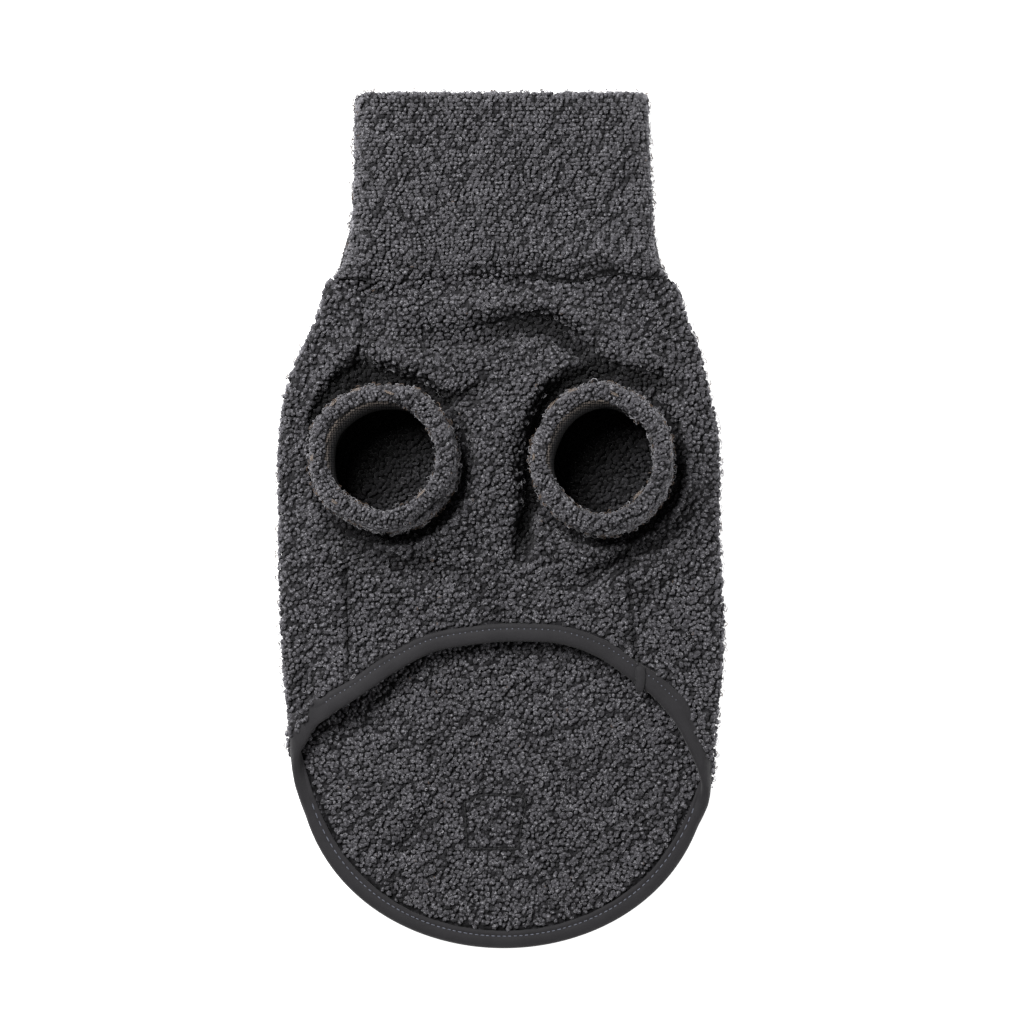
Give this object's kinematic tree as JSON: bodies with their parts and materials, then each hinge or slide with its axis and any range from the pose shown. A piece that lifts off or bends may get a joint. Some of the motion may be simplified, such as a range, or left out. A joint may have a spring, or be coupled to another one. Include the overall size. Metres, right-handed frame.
{
  "type": "dog sweater",
  "caption": "Dog sweater of thick curly fleece laid flat belly side up: open tube body with a rounded tail, two short standing sleeves, a doubled collar and a taped hem.",
  "frame": {"origin": "under the middle of the garment's bounding box, on the surface it lies on", "axes": "X runs across the garment, Y up it from the tail to the collar, Z up from the surface; the belly side faces up"},
  "size_m": [0.2236, 0.4276, 0.046],
  "materials": {
    "fleece": "dark grey curly fleece, matt, deep pile",
    "fleece_collar": "dark grey curly fleece, matt, deep pile, doubled",
    "binding": "smooth dark grey woven tape",
    "thread": "sewing thread, grey on the tape",
    "backing": "plain knit backing of the fleece, as on the turned-in cuffs"
  },
  "bodies": {
    "root": {"back": "fleece", "belly": "fleece", "sleeve_left": "fleece", "sleeve_right": "fleece", "collar": "fleece_collar", "hem_binding": "binding"}
  },
  "joints": []
}
